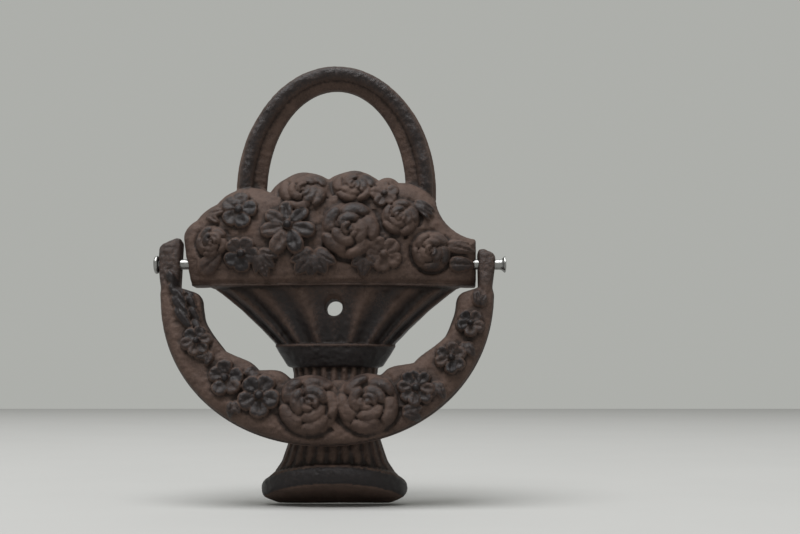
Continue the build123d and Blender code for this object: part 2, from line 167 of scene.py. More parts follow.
class Relief:
    """A grid over a casting's front view: across (u) and up (v), in millimetres."""

    def __init__(self, low, high, seed):
        self.u = np.arange(low[0], high[0], VOXEL)
        self.v = np.arange(low[1], high[1], VOXEL)
        self.U, self.V = np.meshgrid(self.u, self.v, indexing="ij")
        self.raised = np.zeros_like(self.U)  # flowers and leaves, above the ground
        self.dark = np.zeros_like(self.U)  # where the iron is worn dark
        self.random = np.random.default_rng(seed)

    def inside(self, points):
        """Distance inside a closed outline, negative outside."""
        line = np.array(points, float)
        far = np.full(self.U.shape, 1e9)
        odd = np.zeros(self.U.shape, bool)
        for a, b in zip(line, np.roll(line, -1, 0)):
            step = b - a
            length2 = max(step @ step, 1e-12)
            t = np.clip(((self.U - a[0]) * step[0] + (self.V - a[1]) * step[1]) / length2, 0, 1)
            far = np.minimum(far, (self.U - a[0] - t * step[0]) ** 2 + (self.V - a[1] - t * step[1]) ** 2)
            if a[1] != b[1]:
                crosses = (a[1] > self.V) != (b[1] > self.V)
                odd ^= crosses & (self.U < a[0] + (self.V - a[1]) * step[0] / step[1])
        return np.sqrt(far) * np.where(odd, 1, -1)

    def oval(self, middle, half, squareness=2.0, below=False):
        """Distance inside an ellipse, or a squarer oval; below makes its upper half run straight up."""
        across = np.abs(self.U - middle[0]) / half[0]
        up = (self.V - middle[1]) / half[1]
        up = np.clip(-up, 0, None) if below else np.abs(up)
        reach = (across**squareness + up**squareness) ** (1 / squareness)
        slope = np.hypot(*np.gradient(reach, VOXEL))
        return (1 - reach) / np.maximum(slope, 0.3 / max(half))

    def window(self, u, v, reach):
        """Slices of the grid round a place."""
        i = np.searchsorted(self.u, [u - reach, u + reach])
        j = np.searchsorted(self.v, [v - reach, v + reach])
        return slice(*i), slice(*j)

    def pad(self, u, v, length, width, rise, dark, angle=0.0, base=0.0, point=0.0, crown=0.5, tilt=0.0,
            climb=0.0, groove=0.0, cup=0.0):
        """A raised shape: length and width are half sizes, and it runs along angle.

        base lifts all of it, point narrows its far end, crown below 0.5 flattens its top, tilt raises
        its left side and climb its far end, groove cuts a vein along it, and cup sinks its middle."""
        w = self.window(u, v, 1.5 * max(length, width))
        c, s = math.cos(math.radians(angle)), math.sin(math.radians(angle))
        du, dv = self.U[w] - u, self.V[w] - v
        along = (c * du + s * dv) / length
        across = (c * dv - s * du) / width
        across = across / np.clip(1 - point * np.clip(along, -1, 1), 0.12, 2)
        q = along**2 + across**2
        shape = np.clip(1 - q, 0, 1) ** crown * (1 - cup * np.exp(-3 * q))
        height = base * ramp(1 - q, 0, 0.25) + rise * shape * (1 + tilt * across + climb * along)
        if groove:
            height = height - groove * np.exp(-(across * width / 0.5) ** 2) * shape
        top = np.where(q < 1, height, 0)
        higher = top > self.raised[w]
        self.raised[w] = np.where(higher, top, self.raised[w])
        worn = dark * ramp(1 - q, 0.08, 0.45)
        self.dark[w] = np.where(higher, worn, self.dark[w])


# A rose's whorls from the outside: outer and inner edge as shares of its size, petals, height
ROSE_WHORLS = ((1.0, 0.56, 5, 1.0), (0.64, 0.26, 3, 1.3), (0.34, 0.1, 2, 1.4), (0.14, -0.14, 1, 1.2))
FURROW_AT, FURROW_WIDTH = 1.05, 0.1  # round a rose, as shares of its size
ROSE_END = 1.35  # nothing farther out belongs to a rose
BARE = 0.3  # ground raised less than this is bare, and a furrow may cut it


def rose(relief, u, v, across, up, turn, worn, rise, petal):
    """A rose: overlapping crescents in whorls on a raised head, with a furrow round it.

    turn is the direction of its first petal, and worn the direction of its darkest side."""
    du, dv = (relief.U - u) / across, (relief.V - v) / up
    q, phi = np.hypot(du, dv), np.degrees(np.arctan2(dv, du))
    furrow = 0.9 - 0.6 * np.sin(np.radians(phi))  # deeper under the rose than over it
    furrow = furrow * np.exp(-(((q - FURROW_AT) / FURROW_WIDTH) ** 2))
    ground = 0.7 * rise * np.sqrt(np.clip(1 - q**2, 0, 1)) - furrow
    top = ground
    dark = np.zeros_like(q)
    side = 0.5 + 0.5 * np.cos(np.radians(phi - worn))
    for outer, inner, count, height in ROSE_WHORLS:
        step = 360 / count
        place = ((phi - turn) / step + 0.5) % count
        number = np.minimum(place.astype(int), count - 1)
        along = 2 * (place - number) - 1
        reach = outer * relief.random.uniform(0.92, 1.04, count)[number]
        foot = inner
        if count > 1:  # a petal's far end curls in under the next one
            reach = reach * (1.03 - 0.16 * along**2 - 0.08 * along)
            foot = inner * (1 - 0.22 * along)
        share = 2 * (q - foot) / (reach - foot) - 1
        shape = np.clip(1 - np.abs(share + 0.1) ** 2.2, 0, 1) ** 0.5
        if count > 1:
            shape = shape * np.clip(1 - along**4, 0, 1) ** 0.5 * (1 - 0.25 * along)
        lift = relief.random.uniform(0.8, 1.2, count)[number]
        wear = relief.random.uniform(0.6, 1.0, count)[number]
        whorl = np.where(shape > 0, ground + petal * height * lift * shape, NOTHING)
        dark = np.where(whorl > top, (0.3 + 0.75 * side**1.3) * wear * np.clip(shape, 0, 1), dark)
        top = np.maximum(top, whorl)
        turn += step * relief.random.uniform(0.35, 0.65)
    here = (q < ROSE_END) & ((top > relief.raised) | (relief.raised < BARE))
    relief.raised = np.where(here, top, relief.raised)
    relief.dark = np.where(here, dark, relief.dark)


def daisy(relief, u, v, r, count, turn, rise, dark, button=0.26, sag=0.0, slim=1.0):
    """A small flat flower: one row of creased petals, each a little different, round a button.

    button is the button's share of its radius, and sag makes its lower petals the longer ones."""
    half_gap = math.sin(math.pi / count)
    half = 0.92 * slim * r * half_gap / (1 + 0.6 * half_gap)
    for i in range(count):
        step = turn + 360 * i / count + relief.random.uniform(-7, 7)
        a = math.radians(step)
        size = 1 - sag * math.sin(a)
        reach = size * r * relief.random.uniform(0.54, 0.64)
        relief.pad(u + reach * math.cos(a), v + reach * math.sin(a), 0.45 * r * size, 1.15 * half * size,
                   angle=step, rise=rise * relief.random.uniform(0.85, 1.15), point=-0.25, crown=0.3,
                   climb=0.25, groove=0.5, cup=0.42, dark=dark * relief.random.uniform(0.7, 1.3))
    relief.pad(u, v, button * r, button * r, rise=1.2 * rise, base=0.5, dark=min(1, 1.5 * dark))


def leaf(relief, u, v, lobes, rise=1.7, dark=0.55):
    """Pointed lobes from one base: (direction, length, width), each with a vein."""
    for direction, length, width in lobes:
        a = math.radians(direction)
        relief.pad(u + 0.5 * length * math.cos(a), v + 0.5 * length * math.sin(a), 0.55 * length,
                   0.6 * width, angle=direction, rise=1.25 * rise, point=0.45, crown=0.4, groove=0.8,
                   dark=dark + 0.2)


def solid_mesh(name, relief, front, back, lowest, inside, cutters, place):
    """Closed surface between a front and a back depth, inside an outline, as a Blender object.

    Its points carry two values: worn, how dark the iron is, and crevice_shade_and_dirt, how far below its
    surroundings, which the material paints as shade and dirt in the hollows."""
    depth = np.arange(lowest - SPARE, front.max() + SPARE, VOXEL)
    D = depth[None, None, :]
    field = (D - front[:, :, None]) / steepness(front)[:, :, None]
    field = np.maximum(field, (back[:, :, None] - D) / steepness(back)[:, :, None])
    field = smooth_max(field, -(inside + EDGE_GAIN)[:, :, None], EDGE_ROUND)
    for cutter in cutters:
        field = np.maximum(field, cutter(relief.U[:, :, None], relief.V[:, :, None], D))
    field = np.clip(field, -FIELD_LIMIT, FIELD_LIMIT).astype(np.float32)
    grid = openvdb.FloatGrid(FIELD_LIMIT)
    grid.copyFromArray(field)
    points, _, quads = grid.convertToPolygons(0.0, 0.0)
    p = points.astype(float) * VOXEL + np.array([relief.u[0], relief.v[0], depth[0]])
    mesh = bpy.data.meshes.new(name)
    mesh.from_pydata(place(p) * MM, [], quads[:, ::-1].tolist())
    mesh.update()
    i = np.clip(((p[:, 0] - relief.u[0]) / VOXEL).round().astype(int), 0, len(relief.u) - 1)
    j = np.clip(((p[:, 1] - relief.v[0]) / VOXEL).round().astype(int), 0, len(relief.v) - 1)
    facing = ramp(p[:, 2] - front[i, j], -2.2, -0.6)  # 1 on the front, 0 on the back
    # painted shade and dirt: how far a point lies below its blurred surroundings
    crevice_shade_and_dirt = ramp(blur(front, 1.6 / VOXEL) - front, 0.1, 1.0)
    for key, values in (("worn", relief.dark[i, j] * facing), ("crevice_shade_and_dirt", crevice_shade_and_dirt[i, j] * facing)):
        layer = mesh.attributes.new(key, "FLOAT", "POINT")
        layer.data.foreach_set("value", values.astype(np.float32))
    obj = bpy.data.objects.new(name, mesh)
    bpy.context.scene.collection.objects.link(obj)
    return obj


def settle(obj):
    """Takes the grid's steps out of the surface, limits its triangles and smooths its shading."""
    bpy.context.view_layer.objects.active = obj
    smooth = obj.modifiers.new("smooth", "SMOOTH")
    smooth.factor, smooth.iterations = 0.5, 1
    triangles = 2 * len(obj.data.polygons)
    if triangles > FACES:
        thin = obj.modifiers.new("thin", "DECIMATE")
        thin.ratio = FACES / triangles
    for modifier in list(obj.modifiers):
        with bpy.context.temp_override(object=obj, active_object=obj, selected_objects=[obj]):
            bpy.ops.object.modifier_apply(modifier=modifier.name)
    obj.data.polygons.foreach_set("use_smooth", [True] * len(obj.data.polygons))
    return obj


def grain(relief):
    """Unevenness of a sand casting: a fine grain over slow waves, with pits here and there."""
    rough = relief.random.standard_normal(relief.U.shape)
    slow = blur(rough, WAVE_SIZE / VOXEL)
    fine = blur(rough, GRAIN_SIZE / VOXEL)
    pits = blur(relief.random.standard_normal(relief.U.shape), PIT_SIZE / VOXEL)
    pits = np.clip(pits / pits.std() - PIT_RARITY, 0, 1.5)
    return GRAIN_HEIGHT * fine / fine.std() + WAVE_HEIGHT * slow / slow.std() - PIT_DEPTH * pits


# ---------------------------------------------------------------- basket

# Upper edge of the flower bank, from left to right: a chain of arcs over the flowers
BANK_EDGE = arcs([
    (-65, 26), (-64.5, 33), (-59.5, 38), (-56.5, 41.5), (-51, 45), (-42, 51.5), (-28, 50), (-15, 59),
    (-3, 56), (8, 60), (18.5, 55.5), (22.5, 57), (27, 54.5), (37, 52), (43, 45), (48.5, 35), (61, 29.5),
])
BANK_CLOSE = [(61, -40), (-65, -40)]  # closes that edge, well below the bank
BANK_LEFT, BANK_RIGHT = -65.0, 59.6  # its ends
LEFT_SLOPE, SLOPE_TOP, SLOPE_HEIGHT = 0.22, 32, 22  # how the left end leans in, going down
RIM_BOTTOM = 10.2
BANK_DEPTH, BANK_CREST_Z, BANK_UP_R, BANK_ACROSS_R = 22.0, 24.0, 63.0, 244.0
BANK_ROUND = 7.5  # of its upper edge
UNDERCUT_DEPTH, UNDERCUT_HEIGHT = 1.2, 0.9  # under the rim

# Small flowers of the bank: across, up, size, direction of the first petal, how dark
POSIES = (
    (-40, 41, 8, 150, 0.8), (-38.5, 22, 7.5, 135, 0.8), (21, 21.5, 7.5, 45, 0.3), (21, 48, 6, 30, 0.5),
)
TOP_LIFT = 1.2  # how far the two top roses reach up over the bank's edge
# Roses of the bank: CAD node, direction of the first petal, direction of the darkest side, lift
BANK_ROSES = (
    ("rose_top_left", 45, 345, TOP_LIFT), ("rose_top_right", 100, 60, TOP_LIFT),
    ("rose_left", 125, 110, 0), ("rose_right_upper", 90, 80, 0),
    ("rose_right_lower", 60, 340, 0), ("rose_centre", 80, 120, 0),
)

ARCH_Z = 51.0  # centre of the arch's ellipses
ARCH_BOTTOM = 40  # where its legs end, inside the bank
ARCH_SINK = (36, 54)  # heights over which its legs rise out of the bank
ARCH_SIDE, ARCH_TOP = 12.6, 10.0  # width of the bar at its legs and at its top
BAR_DEPTH, BAR_INNER_FALL, BAR_OUTER_FALL = 6.4, 2.2, 3.0  # the lower bar, and how its edges fall
BAR_MIDDLE, BAR_OUTER = 0.5, 0.22  # where those falls start, as shares of the bar's width
CROWN_AT, CROWN_BASE, CROWN_R = 0.34, 5.8, 3.2  # the round crown: share of the width, depth, radius

# Vase: height, half width and depth of its half-round sections
VASE = np.array([
    (12, 57, 18.5), (6.5, 49, 17.6), (0, 41, 16.4), (-8, 32.5, 14.8), (-15, 25.6, 13.4),
    (-15.6, 26, 14.6), (-19, 24, 14.2), (-24.4, 20.5, 12.4), (-25, 18.4, 11.4), (-36, 17, 13),
    (-47, 17.5, 14), (-56, 19.8, 15.2), (-64, 22.5, 16.6), (-70, 26.5, 18.2), (-76, 30, 19.2),
    (-82, 30, 19.4),
])
COLLAR_TOP, COLLAR_BOTTOM = -15.0, -24.7
LIP_HALF, LIP_RISE = 25, 0.5  # of the collar's lip
RIBS = (15, 35, 53, 71)  # degrees round the bowl, to either side
RIB_SPREAD = 0.12  # how much farther round they are at the rim than at the collar
RIB_WIDTH, VALLEY_AT, VALLEY_WIDTH = 3.4, 8.5, 4.5  # degrees; a valley runs beside each rib
RIB_HEIGHT, VALLEY_DEPTH = 1.0, 0.7
FLUTE_STEP = 13.5  # degrees from one flute of the stem to the next
FLUTES_END = (-72, -64)  # heights over which they run out

FOOT_TOP = -60  # lower than this is the foot
FOOT_HALF, FOOT_REACH = 31.0, 21.8
FOOT_WIDEST_Z = -75.0
FOOT_CURVE = 0.17  # how fast its ends draw in above and below that
FOOT_TILT = math.tan(math.radians(24.5))
FOOT_BAND = 6.6  # height of the band along its edge
FOOT_FALL = 3  # how fast its top falls away behind the band

WALL = 5.0
HOLLOW_EDGE, HOLLOW_SLOPE = 4.5, 1.8  # where the hollow starts inside the outline, and how steeply
FOOT_SOLID = (-62, -58)  # heights over which the hollow ends above the foot
BOSS_R, BOSS_END = 7.0, 8.4  # solid round each screw hole, out to where the hollow is full
HOLE_GAIN = 0.25  # what smoothing takes off a screw hole's radius, given back


def foot_ends(r):
    """Distance inside the foot's two ends."""
    return FOOT_HALF - FOOT_CURVE * (r.V - FOOT_WIDEST_Z) ** 2 - np.abs(r.U)


def dome(r):
    """Front of the flower bank and rim, without flowers."""
    up = BANK_UP_R - np.sqrt(np.clip(BANK_UP_R**2 - (r.V - BANK_CREST_Z) ** 2, 0, None))
    return BANK_DEPTH - up - (BANK_ACROSS_R - np.sqrt(BANK_ACROSS_R**2 - r.U**2))


def bank(r):
    """Flower bank and rim: depth, distance inside, and the distance without their lower edge."""
    top = r.inside(BANK_EDGE + BANK_CLOSE)
    left = BANK_LEFT + LEFT_SLOPE * np.clip(SLOPE_TOP - r.V, 0, SLOPE_HEIGHT)
    outline = np.minimum(top, np.minimum(r.U - left, BANK_RIGHT - r.U))
    undercut = UNDERCUT_DEPTH * np.exp(-(((r.V - RIM_BOTTOM) / UNDERCUT_HEIGHT) ** 2))
    depth = dome(r) + r.raised - BANK_ROUND * rounding(top, BANK_ROUND) - undercut
    return depth, np.minimum(outline, r.V - RIM_BOTTOM + 0.6), outline


def arch(r):
    """The loop handle, a round crown on a lower bar: its depth, the distance inside, where it is dark."""
    half, height = ARCH_HIGH[0], ARCH_HIGH[2] - ARCH_Z
    outer = r.oval((0, ARCH_Z), (half, height))
    inner = r.oval((0, ARCH_Z), (half - ARCH_SIDE, height - ARCH_TOP))
    legs = r.V < ARCH_Z
    outer = np.where(legs, half - np.abs(r.U), outer)
    inner = np.where(legs, half - ARCH_SIDE - np.abs(r.U), inner)
    width = np.clip(outer, 0, None) + np.clip(-inner, 0, None)
    share = np.clip(outer, 0, None) / np.maximum(width, 0.1)
    bar = BAR_DEPTH - BAR_INNER_FALL * np.clip(share - BAR_MIDDLE, 0, 1) / BAR_MIDDLE
    bar = bar - BAR_OUTER_FALL * np.clip(BAR_OUTER - share, 0, 1) / BAR_OUTER
    across = (share - CROWN_AT) * width / CROWN_R
    crown = CROWN_BASE + CROWN_R * np.sqrt(np.clip(1 - across**2, 0, 1))
    depth = smooth_max(bar, np.where(np.abs(across) < 1, crown, NOTHING), 0.7) * ramp(r.V, *ARCH_SINK)
    dark = 0.85 * np.clip(1 - 0.6 * across**2, 0, 1) * (np.abs(across) < 1.1)
    return depth, np.minimum(np.minimum(outer, -inner), r.V - ARCH_BOTTOM), dark


def add_ribs(r, turn, depth, dark):
    """Ribs on the bowl, with a darker valley to either side of each."""
    bowl = ramp(r.V, COLLAR_TOP - 0.2, COLLAR_TOP + 0.6) * ramp(RIM_BOTTOM - r.V, 0.5, 4)
    spread = 1 + RIB_SPREAD * (r.V - COLLAR_TOP) / (RIM_BOTTOM - COLLAR_TOP)
    for rib in RIBS:
        offset = np.abs(np.abs(turn) - rib * spread)
        ridge = np.exp(-((offset / RIB_WIDTH) ** 2))
        valley = np.exp(-(((offset - VALLEY_AT) / VALLEY_WIDTH) ** 2))
        depth = depth + bowl * (RIB_HEIGHT * ridge - VALLEY_DEPTH * valley)
        dark = dark + bowl * (0.2 * valley - 0.35 * ridge)
    return depth, dark


def add_flutes(r, turn, depth, dark):
    """Flutes round the stem, which run out above the foot."""
    stem = ramp(COLLAR_BOTTOM - r.V, 0, 0.8) * ramp(r.V, *FLUTES_END)
    flute = np.cos(np.radians(turn * 360 / FLUTE_STEP))
    return depth + stem * (0.6 * flute - 0.4), dark - stem * 0.3 * flute


def add_collar(r, depth, dark):
    """The collar: all dark, with a raised and browner lip along its upper edge."""
    collar = ramp(r.V, COLLAR_BOTTOM - 0.4, COLLAR_BOTTOM) * ramp(COLLAR_TOP - r.V, -0.4, 0)
    lip = np.exp(-(((r.V - COLLAR_TOP + 0.6) / 0.7) ** 2))
    depth = depth + LIP_RISE * lip * (np.abs(r.U) < LIP_HALF)
    return depth, np.clip(dark, 0, 1) * (1 - collar) + collar * (1.0 - 0.6 * lip)


def vase(r):
    """Bowl, collar, stem and the flare of the foot: depth, distance inside, where they are dark."""
    order = VASE[::-1]
    half = np.interp(r.V, order[:, 0], order[:, 1])
    share = np.clip(r.U / half, -1, 1)
    turn = np.degrees(np.arcsin(share))
    depth = np.interp(r.V, order[:, 0], order[:, 2]) * np.sqrt(1 - share**2)
    dark = 0.85 - 0.45 * ramp(r.V, COLLAR_TOP, RIM_BOTTOM) - 0.5 * (r.V < COLLAR_BOTTOM)
    depth, dark = add_ribs(r, turn, depth, dark)
    depth, dark = add_flutes(r, turn, depth, dark)
    depth, dark = add_collar(r, depth, dark)
    within = np.minimum(half - np.abs(r.U), RIM_BOTTOM + 1.5 - r.V)
    ends = np.where(r.V < FOOT_WIDEST_Z, foot_ends(r), -NOTHING)
    return depth, np.minimum(np.minimum(within, r.V - FOOT_LOW[2]), ends), dark


def foot(r):
    """The foot's tilted plate: depth, distance inside, how far up its edge band, depth of its underside.

    The band runs from 0 to 1, and the underside is below 0."""
    reach = FOOT_REACH * np.sqrt(np.clip(1 - (r.U / FOOT_HALF) ** 2, 0, 1))
    height = r.V - FOOT_LOW[2]
    band = (height - reach * FOOT_TILT) / FOOT_BAND
    rounded = 0.93 + 0.07 * np.sqrt(np.clip(1 - (2 * band - 1) ** 2, 0, 1))
    depth = reach * rounded - FOOT_FALL * np.clip(band - 1, 0, 9)
    within = np.minimum(np.minimum(foot_ends(r), FOOT_BAND * (1 - band)), height)
    return depth, within, band, height / FOOT_TILT


def hollow_back(r, base, margin):
    """Depth of the hollow back: solid round the screw holes, at the collar and in the foot.

    base is the front without flowers, and margin the distance inside the outline."""
    room = np.minimum(base - WALL, HOLLOW_SLOPE * (margin - HOLLOW_EDGE))
    collar = ramp(r.V, COLLAR_BOTTOM - 2, COLLAR_BOTTOM) * ramp(-r.V, -COLLAR_TOP - 2, -COLLAR_TOP)
    room = room * ramp(r.V, *FOOT_SOLID) * (1 - collar)
    for z in SCREW_Z:
        room = room * ramp(np.hypot(r.U, r.V - z), BOSS_R, BOSS_END)
    return blur(np.clip(room, 0, None), 1.2 / VOXEL)


def basket():
    """The basket casting."""
    r = Relief((-68.5, -85), (64, 109.5), seed=11)
    plant_bank(r)
    bank_depth, bank_in, outline = bank(r)
    arch_depth, arch_in, arch_dark = arch(r)
    vase_depth, vase_in, vase_dark = vase(r)
    foot_depth, foot_in, band, underside = foot(r)
    front = np.full(r.U.shape, NOTHING)
    inside = np.full(r.U.shape, NOTHING)
    for depth, within, fillet in (
        (bank_depth, bank_in, 1.6), (arch_depth, arch_in, 2.6), (vase_depth, vase_in, 0.8),
        (foot_depth, foot_in, 1.0),
    ):
        front = smooth_max(front, np.where(within > -0.9, depth, NOTHING), fillet)
        inside = np.maximum(inside, within)
    low = r.V < FOOT_TOP
    front = np.where(low, smooth_min(front, underside, 0.7), front)
    # where the iron is worn dark: the arch's crown and the foot's band are, its underside is not
    arch_here = (arch_in > 0) & (arch_depth > np.where(bank_in > 0, bank_depth, NOTHING))
    dark = np.where(arch_here, arch_dark, r.dark)
    dark = np.where(r.V < RIM_BOTTOM, vase_dark, dark)
    r.dark = np.where(low & (band < 1), np.where(band > 0, 1.0, 0.0), dark)
    front = front + grain(r)
    upper = r.V > RIM_BOTTOM
    back = hollow_back(r, np.where(upper, dome(r), vase_depth), np.where(upper, outline, vase_in))

    def screw_holes(U, V, D):
        cut = NOTHING
        middle = np.abs(r.u).argmin()
        for z in SCREW_Z:
            face = front[middle, np.abs(r.v - z).argmin()]
            radius = SCREW_R + HOLE_GAIN + np.clip(D - (face - 1.5), 0, 2) * 0.9  # the mouth flares
            cut = np.maximum(cut, radius - np.hypot(U, V - z))
        return cut

    def rod_bore(_, V, D):
        return RIM_BORE - np.hypot(V - ROD_Z, D + ROD_Y)

    def place(p):
        return np.stack([p[:, 0], -p[:, 2], p[:, 1]], 1)

    return settle(solid_mesh("basket_casting", r, front, back, 0.0, inside, [screw_holes, rod_bore], place))


def plant_bank(r):
    """Flowers and leaves on the basket's bank."""
    plant_leaves(r)
    for node, turn, worn, lift in BANK_ROSES:
        middle, half = node_middle(node)
        half = half + lift
        rose(r, middle[0], middle[2] + lift, half[0], half[2], turn, worn, rise=2.4,
             petal=0.4 + 0.12 * half[0])
    middle, half = node_middle("daisy")
    daisy(r, middle[0], middle[2] + 1, 0.92 * half[0], 7, turn=-10, rise=3.4, button=0.19, dark=0.75,
          sag=0.12, slim=0.78)
    for u, v, radius, turn, dark in POSIES:
        daisy(r, u, v, radius, 5, turn, rise=2.6, dark=dark)


def plant_leaves(r):
    """Leaves between the bank's flowers: a base, then lobes as direction, length and width."""
    leaf(r, -31, 22.5, [(-72, 11.5, 5), (-45, 9.5, 4.5), (-12, 8.5, 4), (-98, 9, 4)], rise=2.0, dark=0.5)
    leaf(r, -8, 22, [(200, 10, 6), (228, 11.5, 7), (262, 10, 7.5), (300, 10, 7), (335, 10, 6)], rise=2.0)
    leaf(r, 13, 20.5, [(-95, 8.5, 5.5), (-145, 6.5, 5), (-35, 6.5, 4.5)], rise=1.9, dark=0.5)
    leaf(r, -56, 14.5, [(42, 12, 6.5)], rise=1.6, dark=0.3)
    leaf(r, -54, 39.5, [(-35, 7, 3), (10, 8, 4)], rise=1.6, dark=0.3)
    leaf(r, 47.5, 26, [(-12, 11.5, 4.5), (8, 9, 2.5)], rise=1.8, dark=0.3)
    leaf(r, 48.5, 18, [(0, 11, 5.5)], rise=1.8)
    leaf(r, 34, 44, [(-18, 8.5, 3.5), (-35, 9.5, 3.5), (-52, 9.5, 2.5)], rise=1.9, dark=0.6)


# ---------------------------------------------------------------- knocker

# The garland hangs between two bows: middle and height of their ends, then half width and drop
OUTER_BOW = ((-3.0, -10.5), (70.0, 65.5))
INNER_BOW = ((-2.0, -14.5), (53.5, 35.0))
BOW_SQUARENESS = 2.1
BOW_ROUND = 5.0  # of its front edges
BOW_SLOPE = 0.3  # how fast the bow's top falls away from an ear
TIP_STEP, TIP_REACH = 19.0, 1.5  # leaf tips along the bow's inner edge: degrees apart, how far in
TIPS_BELOW = (20, 28)  # distances below the rod over which the tips grow to full size

# The two roses' heads: middle, half size, direction of the first petal, direction of the darkest side
ROSE_HEADS = (
    ((-9.0, -60.0), (13.0, 12.8), 145, 110),
    ((14.5, -59.5), (13.0, 12.8), 125, 90),
)
# Its flat flowers: across, up, size, petals, direction of the first petal
GARLAND_FLOWERS = (
    (-29.5, -56.5, 8.6, 5, 60), (-43.5, -49.5, 7.4, 5, 20), (-56, -34, 6.4, 6, 10),
    (34, -53.5, 7.6, 8, 0), (48.5, -41, 6.4, 6, 25), (56.5, -26.5, 5.8, 5, 50),
)
# Wheat leaves, in pairs down the left side: across, up, length, width, direction; and the step between
WHEAT_PAIR = ((-66.5, -9, 6.8, 2.1, -52), (-60.5, -12.5, 4.4, 1.7, -58))
WHEAT_COUNT, WHEAT_ACROSS, WHEAT_DOWN = 4, 1.5, 5.2

EAR_LOW = -22.0
EAR_LEAN = 0.14  # how far an outer edge draws in, going down
EAR_SLANT, EAR_FLAT = 0.5, 2.5  # fall of an ear's top, from this far out
EAR_WEAR = 0.6  # how dark the ears are worn
EAR_FALL, BOW_FALL = 1.3, 2.3  # rounding of the ears' edges, and what the bow has on top of that
KNOCKER_FRONT, KNOCKER_BACK = 4.2, -5.0  # depths from the rod's plane
SWELL = 0.8  # how much thicker the garland is at its lowest
BACK_ROUND, BACK_ROUND_WIDTH = 1.2, 2.0


def plant_bow(r):
    """Flowers and leaves on the knocker, placed from the rod."""
    plant_garland_leaves(r)
    for middle, half, turn, worn in ROSE_HEADS:
        rose(r, *middle, *half, turn, worn, rise=3.0, petal=2.0)
    for u, v, radius, count, turn in GARLAND_FLOWERS:
        daisy(r, u, v, radius, count, turn, rise=3.2, dark=0.8)


def plant_garland_leaves(r):
    """Leaves between the knocker's flowers; up the left side they overlap like an ear of wheat."""
    for i in range(WHEAT_COUNT):
        for across, up, length, width, angle in WHEAT_PAIR:
            r.pad(across + WHEAT_ACROSS * i, up - WHEAT_DOWN * i, length, width, angle=angle, rise=2.6,
                  point=0.3, tilt=0.4, groove=0.4, dark=0.95)
    leaf(r, -34.5, -49, [(60, 6, 4.5), (20, 5, 3.5)])
    leaf(r, -50.5, -38.5, [(200, 6.5, 4), (260, 6, 3.5)])
    leaf(r, -40, -59, [(260, 7, 4), (300, 6, 3.5)])
    leaf(r, 29, -63, [(-22, 8.5, 4.5), (12, 8, 4)])
    leaf(r, 42.5, -51, [(-65, 8, 4), (-110, 7, 3.5)])
    leaf(r, 54.5, -34.5, [(-60, 7, 4), (-100, 6, 3.5)])
    leaf(r, 60.5, -19, [(100, 8, 4), (60, 6, 3.5)])


def ear(r, box):
    """Distance inside an upright ear with a rounded top, which ends inside the bow."""
    low, high = box
    top = (high[2] - ROD_Z) / math.cos(LEAN)
    lean_in = EAR_LEAN * np.clip(-r.V, 0, None)
    outwards = high[0] - r.U if low[0] < 0 else r.U - low[0]
    width = high[0] - low[0] - lean_in
    slant = EAR_SLANT * np.clip(outwards - EAR_FLAT, 0, None)
    sides = np.minimum(outwards, width - outwards)
    return smooth_min(sides, np.minimum(top - slant - r.V, r.V - EAR_LOW), 2.0)


def bow(r):
    """Distance inside the garland, between its two bows and with leaf tips on the inner one."""
    outer = r.oval(*OUTER_BOW, squareness=BOW_SQUARENESS, below=True)
    inner = r.oval(*INNER_BOW, squareness=BOW_SQUARENESS, below=True)
    turn = np.arctan2(r.V - INNER_BOW[0][1], r.U - INNER_BOW[0][0])
    tips = np.abs(np.sin(turn * 180 / TIP_STEP)) * (1 + 0.5 * np.sin(5 * turn))
    inner = inner + TIP_REACH * (0.5 - tips) * ramp(-r.V, *TIPS_BELOW)
    from_ears = np.clip(np.minimum(r.U - LEFT_ARM[1][0], RIGHT_ARM[0][0] - r.U), 0, None)
    ends = OUTER_BOW[0][1] - BOW_SLOPE * from_ears - r.V
    return smooth_min(np.minimum(outer, -inner), ends, 4.0)


def knocker():
    """The knocker casting, sculpted upright and then leaned about the rod."""
    r = Relief((-78, -80), (71, 14.5), seed=23)
    plant_bow(r)
    inside = smooth_max(bow(r), np.maximum(ear(r, LEFT_ARM), ear(r, RIGHT_ARM)), 1.0)
    for middle, half, _, _ in ROSE_HEADS:
        inside = smooth_max(inside, r.oval(middle, half), 1.0)
    fall = EAR_FALL + BOW_FALL * ramp(-r.V, 6, 18)  # the ears' edges stay high enough to cover the rod
    r.dark = np.maximum(r.dark, EAR_WEAR * ramp(r.V, -16, -6))
    ground = KNOCKER_FRONT - fall * rounding(inside, BOW_ROUND) + SWELL * ramp(-r.V, 40, 70)
    front = ground + r.raised * ramp(inside, -0.5, 2.5) + grain(r)
    back = KNOCKER_BACK + BACK_ROUND * rounding(inside, BACK_ROUND_WIDTH)
    cos, sin = math.cos(LEAN), math.sin(LEAN)

    def rod_bore(_, V, D):
        return EAR_BORE - np.hypot(V, D)

    def place(p):
        along, up, out = p[:, 0], p[:, 1], p[:, 2]
        return np.stack([along, ROD_Y + up * sin - out * cos, ROD_Z + up * cos + out * sin], 1)

    return settle(solid_mesh("knocker_casting", r, front, back, KNOCKER_BACK, inside, [rod_bore], place))


# ---------------------------------------------------------------- rod

# Profile of the rod's two ends, as distance from the end and radius: flat head, peened flare
ROD_HEAD = (
    (0.35, 0), (0.2, 1.6), (0.05, 2.7), (0.2, 3.4), (0.7, 3.8),
    (1.3, 3.78), (1.75, 3.5), (1.9, 3.0), (1.95, 2.3), (2.3, 2.2),
)
ROD_FLARE = (
    (2.6, 2.2), (1.9, 2.3), (1.3, 2.75), (0.8, 3.3), (0.35, 3.5),
    (0.1, 3.3), (0, 2.7), (0.25, 1.8), (0.5, 0.9), (0.55, 0),
)
ROD_SIDES = 64
ROUND_R = 2.25  # up to this radius the rod is true, and past it hammered


